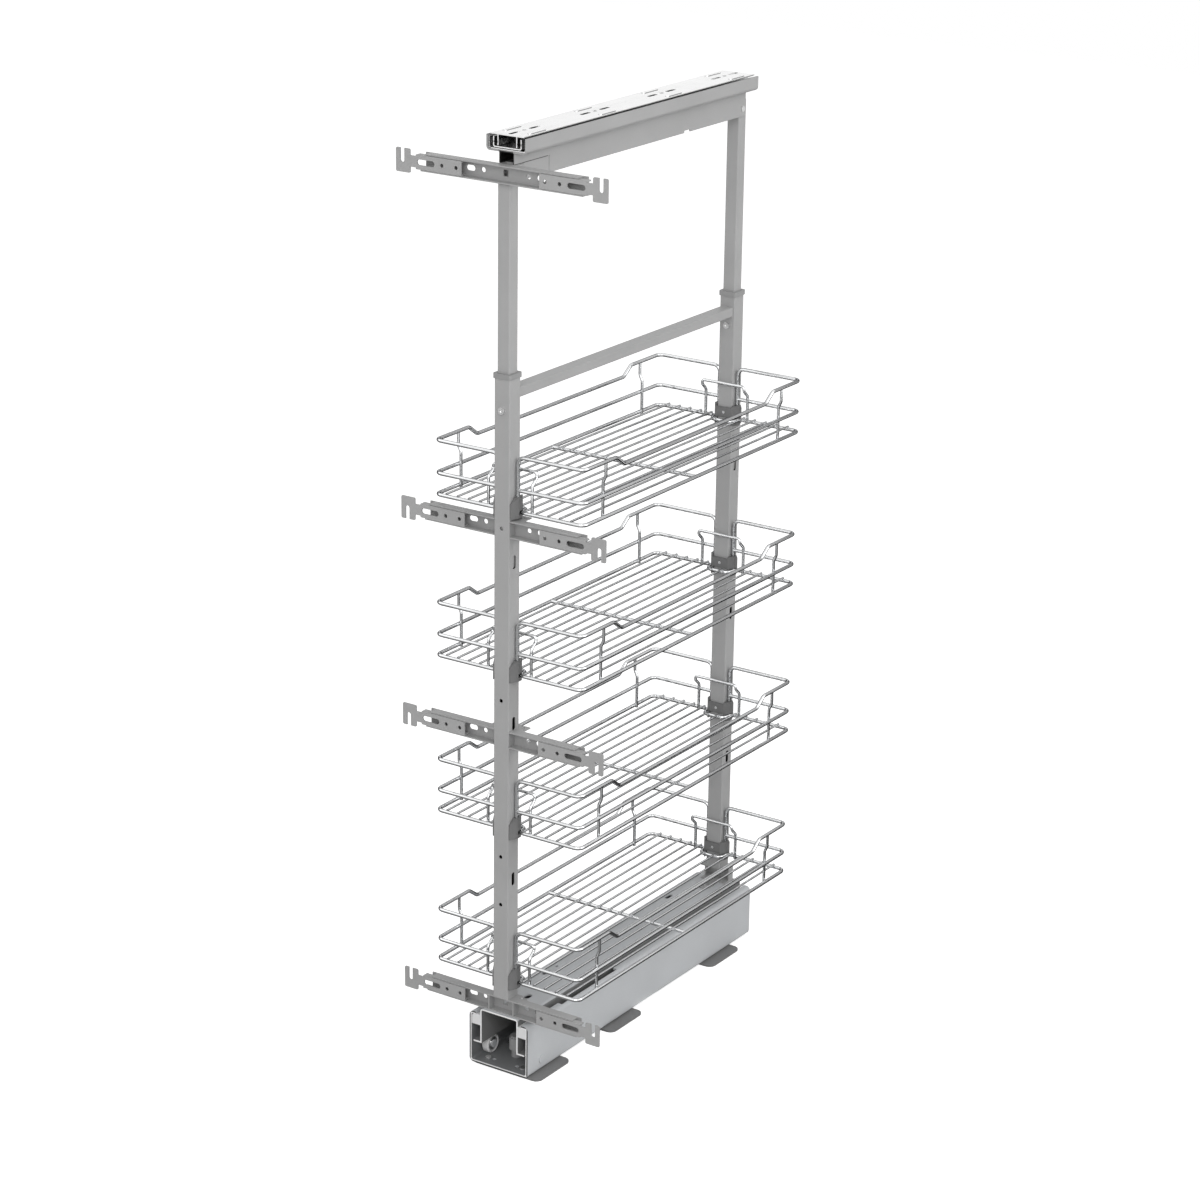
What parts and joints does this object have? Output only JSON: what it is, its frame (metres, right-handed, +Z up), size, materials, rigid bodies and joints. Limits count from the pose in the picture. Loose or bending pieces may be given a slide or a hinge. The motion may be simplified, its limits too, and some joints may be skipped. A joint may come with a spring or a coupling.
{
  "type": "pull out larder unit",
  "caption": "Tall narrow pull-out frame with stacked wire baskets, running on a floor housing and a top slide, with hook bars for a cabinet door.",
  "frame": {"origin": "on the cabinet floor (undersides of the foot plates), half way between the front and rear posts", "axes": "+X to the right seen from the front, +Y towards the back of the cabinet, +Z up; the unit pulls out along -Y"},
  "size_m": [0.3096, 0.5485, 1.2316],
  "materials": {
    "paint": "satin silver-grey powder coat",
    "housing_paint": "satin silver-grey powder coat",
    "zinc": "bright zinc plate",
    "chrome": "polished chrome plate",
    "dark_plastic": "matt moulded",
    "white_plastic": "matt moulded",
    "steel": "turned and plated"
  },
  "bodies": {
    "cabinet_side": {"housing": "housing_paint", "foot_plates": "housing_paint", "foot_rivets": "steel", "load_axles": "steel", "slide_blocks": "white_plastic", "rear_pads": "dark_plastic", "stop_buffers": "dark_plastic"},
    "load_rollers": {"load_roller_tyres": "white_plastic", "load_roller_bearings": "steel"},
    "carriage": {"carriage": "housing_paint", "stop_tab": "steel", "tail_axle": "steel", "front_post": "paint", "rear_post": "paint", "rear_foot": "paint", "carriage_screws": "steel", "post_caps": "dark_plastic", "crossbar": "paint", "lock_screws": "steel", "door_bar_2": "paint", "door_bar_3": "paint", "door_bar_4": "paint", "bar_screws": "steel"},
    "tail_rollers": {"tail_roller_tyres": "white_plastic", "tail_roller_bearings": "steel"},
    "upper_frame": {"front_tube": "paint", "rear_tube": "paint", "top_profile": "paint", "neck_rivets": "steel", "slide_channel": "zinc", "door_bar_1": "paint"},
    "outer_cage": {"outer_ball_cage": "dark_plastic", "outer_balls": "steel"},
    "slide_middle": {"slide_middle": "zinc"},
    "inner_cage": {"inner_ball_cage": "dark_plastic", "inner_balls": "steel"},
    "cabinet_rail": {"cabinet_rail": "zinc"},
    "basket_1": {"basket_1": "chrome", "collars_1": "dark_plastic", "collar_screws_1": "steel"},
    "basket_2": {"basket_2": "chrome", "collars_2": "dark_plastic", "collar_screws_2": "steel"},
    "basket_3": {"basket_3": "chrome", "collars_3": "dark_plastic", "collar_screws_3": "steel"},
    "basket_4": {"basket_4": "chrome", "collars_4": "dark_plastic", "collar_screws_4": "steel"},
    "hook_1_left": {"hook_1_left": "paint"},
    "hook_1_right": {"hook_1_right": "paint"},
    "hook_2_left": {"hook_2_left": "paint"},
    "hook_2_right": {"hook_2_right": "paint"},
    "hook_3_left": {"hook_3_left": "paint"},
    "hook_3_right": {"hook_3_right": "paint"},
    "hook_4_left": {"hook_4_left": "paint"},
    "hook_4_right": {"hook_4_right": "paint"}
  },
  "joints": [
    {"name": "pull_out", "type": "slide", "parent": "cabinet_side", "child": "carriage", "axis": [0, -1, 0], "range_m": [0, 0.42]},
    {"name": "load_roller_spin", "type": "hinge", "parent": "cabinet_side", "child": "load_rollers", "pos_m": [0, -0.242, 0.01875], "axis": [1, 0, 0], "continuous": true},
    {"name": "tail_roller_spin", "type": "hinge", "parent": "carriage", "child": "tail_rollers", "pos_m": [0, 0.2485, 0.0594], "axis": [1, 0, 0], "continuous": true},
    {"name": "height_adjust", "type": "slide", "parent": "carriage", "child": "upper_frame", "axis": [0, 0, 1], "range_m": [-0.18, 0.15]},
    {"name": "outer_cage_slide", "type": "slide", "parent": "upper_frame", "child": "outer_cage", "axis": [0, 1, 0], "range_m": [0, 0.105]},
    {"name": "middle_slide", "type": "slide", "parent": "upper_frame", "child": "slide_middle", "axis": [0, 1, 0], "range_m": [0, 0.21]},
    {"name": "inner_cage_slide", "type": "slide", "parent": "slide_middle", "child": "inner_cage", "axis": [0, 1, 0], "range_m": [0, 0.105]},
    {"name": "rail_slide", "type": "slide", "parent": "slide_middle", "child": "cabinet_rail", "axis": [0, 1, 0], "range_m": [0, 0.21]},
    {"name": "basket_1_height", "type": "slide", "parent": "carriage", "child": "basket_1", "axis": [0, 0, 1], "range_m": [0, 0.06]},
    {"name": "basket_2_height", "type": "slide", "parent": "carriage", "child": "basket_2", "axis": [0, 0, 1], "range_m": [-0.06, 0.06]},
    {"name": "basket_3_height", "type": "slide", "parent": "carriage", "child": "basket_3", "axis": [0, 0, 1], "range_m": [-0.05, 0.04]},
    {"name": "basket_4_height", "type": "slide", "parent": "carriage", "child": "basket_4", "axis": [0, 0, 1], "range_m": [-0.01, 0.06]},
    {"name": "hook_1_left_slide", "type": "slide", "parent": "upper_frame", "child": "hook_1_left", "axis": [-1, 0, 0], "range_m": [-0.014, 0.015]},
    {"name": "hook_1_right_slide", "type": "slide", "parent": "upper_frame", "child": "hook_1_right", "axis": [1, 0, 0], "range_m": [-0.014, 0.015]},
    {"name": "hook_2_left_slide", "type": "slide", "parent": "carriage", "child": "hook_2_left", "axis": [-1, 0, 0], "range_m": [-0.014, 0.015]},
    {"name": "hook_2_right_slide", "type": "slide", "parent": "carriage", "child": "hook_2_right", "axis": [1, 0, 0], "range_m": [-0.014, 0.015]},
    {"name": "hook_3_left_slide", "type": "slide", "parent": "carriage", "child": "hook_3_left", "axis": [-1, 0, 0], "range_m": [-0.014, 0.015]},
    {"name": "hook_3_right_slide", "type": "slide", "parent": "carriage", "child": "hook_3_right", "axis": [1, 0, 0], "range_m": [-0.014, 0.015]},
    {"name": "hook_4_left_slide", "type": "slide", "parent": "carriage", "child": "hook_4_left", "axis": [-1, 0, 0], "range_m": [-0.014, 0.015]},
    {"name": "hook_4_right_slide", "type": "slide", "parent": "carriage", "child": "hook_4_right", "axis": [1, 0, 0], "range_m": [-0.014, 0.015]}
  ],
  "couplings": [
    {"joint": "load_roller_spin", "follows": "pull_out", "rad_per_m": 77.22},
    {"joint": "tail_roller_spin", "follows": "pull_out", "rad_per_m": -80},
    {"joint": "outer_cage_slide", "follows": "pull_out", "ratio": 0.25},
    {"joint": "middle_slide", "follows": "pull_out", "ratio": 0.5},
    {"joint": "inner_cage_slide", "follows": "pull_out", "ratio": 0.25},
    {"joint": "rail_slide", "follows": "pull_out", "ratio": 0.5}
  ]
}
